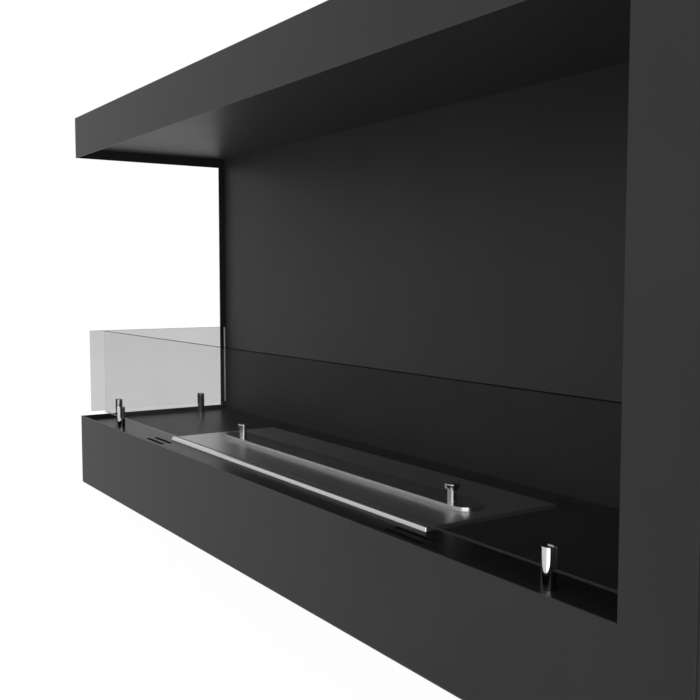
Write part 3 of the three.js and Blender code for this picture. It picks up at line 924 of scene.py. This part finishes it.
class FIREPLACE_OT_stage(bpy.types.Operator):
    """Make the floor, the light and the camera"""

    bl_idname = "fireplace.stage"
    bl_label = "Stage"

    def execute(self, context):
        stage = context.scene.fireplace_stage
        context.scene.view_settings.view_transform = "Standard"
        self.world(context, stage)
        self.floor(context)
        for name, stand, power in (("Key lamp", KEY_LAMP, stage.key), ("Side lamp", SIDE_LAMP, stage.fill)):
            self.lamp(context, name, stand, power).visible_glossy = False
        self.panel(context, stage)
        self.camera(context, stage)
        return {"FINISHED"}

    def panel(self, context, stage):
        """A panel that only shows in the bare metal, and lights nothing else."""
        panel = self.lamp(context, "Panel for the bare metal", PANEL_LAMP, stage.panel)
        panel.data.shape = "SQUARE"
        panel.visible_diffuse = False
        bare = bpy.data.collections.new("Bare metal")
        for node in (*[f"post_{post}" for post in POSTS], *[f"lid_knob_{side}" for side in SIDES],
                     "burner_lid", "burner_plate"):
            bare.objects.link(bpy.data.objects[f"{node}_finished"])
        panel.light_linking.receiver_collection = bare

    def seen(self, sheet):
        """1 for the rays that show the background, directly or in metal and glass, and 0 for the rest."""
        camera = sheet.node("ShaderNodeLightPath", {}, {}, "Is Camera Ray")
        glossy = sheet.node("ShaderNodeLightPath", {}, {}, "Is Glossy Ray")
        through = sheet.node("ShaderNodeLightPath", {}, {}, "Is Transmission Ray")
        return camera.most(glossy).most(through)

    def world(self, context, stage):
        world = bpy.data.worlds.new("Plain white room")
        context.scene.world = world
        sheet = NodeSheet(world)
        seen = self.seen(sheet)
        strength = stage.ambient + (1.0 - stage.ambient) * seen
        sheet.output(sheet.node("ShaderNodeBackground", {}, {"Color": WHITE, "Strength": strength}))

    def floor(self, context):
        bm = bmesh.new()
        bmesh.ops.create_circle(bm, cap_ends=True, radius=FLOOR_RADIUS, segments=96)
        mesh = bpy.data.meshes.new("Floor")
        bm.to_mesh(mesh)
        bm.free()
        floor = bpy.data.objects.new("Floor", mesh)
        floor.location.z = -FLOOR_DROP
        floor.visible_glossy = False
        context.scene.collection.objects.link(floor)
        sheet = NodeSheet(bpy.data.materials.new("Pale floor"))
        matt = sheet.node("ShaderNodeBsdfDiffuse", {}, {"Color": FLOOR_GREY})
        glow = sheet.node("ShaderNodeEmission", {}, {"Color": WHITE, "Strength": FLOOR_GLOW})
        mix = sheet.node("ShaderNodeMixShader", {}, {"Fac": FLOOR_SHARE * self.seen(sheet), 1: matt, 2: glow})
        sheet.output(mix)
        mesh.materials.append(sheet.owner)

    def lamp(self, context, name, stand, power):
        spot, target, size = stand
        light = bpy.data.lights.new(name, "AREA")
        light.shape = "DISK"
        light.size = size
        light.energy = power
        lamp = bpy.data.objects.new(name, light)
        lamp.location = spot
        lamp.rotation_euler = (Vector(target) - Vector(spot)).to_track_quat("-Z", "Y").to_euler()
        lamp.visible_camera = False
        context.scene.collection.objects.link(lamp)
        return lamp

    def camera(self, context, stage):
        lens = bpy.data.cameras.new("Camera")
        lens.sensor_width = 36.0
        lens.lens = stage.lens
        lens.clip_start = 0.01
        camera = bpy.data.objects.new("Camera", lens)
        camera.location = CAMERA_PLACE
        camera.rotation_euler = CAMERA_TURN
        context.scene.collection.objects.link(camera)
        context.scene.camera = camera


class FIREPLACE_PT_panel(bpy.types.Panel):
    """Lists the fireplace's pieces and settings"""

    bl_idname = "FIREPLACE_PT_panel"
    bl_label = "Bioethanol fireplace"
    bl_space_type = "VIEW_3D"
    bl_region_type = "UI"
    bl_category = "Fireplace"

    def draw(self, context):
        for settings in (context.scene.fireplace_sizes, context.scene.fireplace_finishes,
                         context.scene.fireplace_stage):
            box = self.layout.box()
            for key in settings.__annotations__:
                box.prop(settings, key)
        for operator in PIECE_OPERATORS:
            self.layout.operator(operator.bl_idname)


PIECE_OPERATORS = (
    FIREPLACE_OT_casing, FIREPLACE_OT_chamber, FIREPLACE_OT_base, FIREPLACE_OT_panes, FIREPLACE_OT_posts,
    FIREPLACE_OT_burner, FIREPLACE_OT_wool, FIREPLACE_OT_lid, FIREPLACE_OT_stage,
)
SETTINGS = {
    "fireplace_sizes": FireplaceSizes,
    "fireplace_finishes": FireplaceFinishes,
    "fireplace_stage": FireplaceStage,
}


def register():
    for item in (*SETTINGS.values(), *PIECE_OPERATORS, FIREPLACE_PT_panel):
        bpy.utils.register_class(item)
    for name, group in SETTINGS.items():
        setattr(bpy.types.Scene, name, bpy.props.PointerProperty(type=group))


def unregister():
    for name in SETTINGS:
        delattr(bpy.types.Scene, name)
    for item in reversed((*SETTINGS.values(), *PIECE_OPERATORS, FIREPLACE_PT_panel)):
        bpy.utils.unregister_class(item)


def main():
    register()
    for operator in PIECE_OPERATORS:
        group, name = operator.bl_idname.split(".")
        getattr(getattr(bpy.ops, group), name)()


if __name__ == "__main__":
    main()
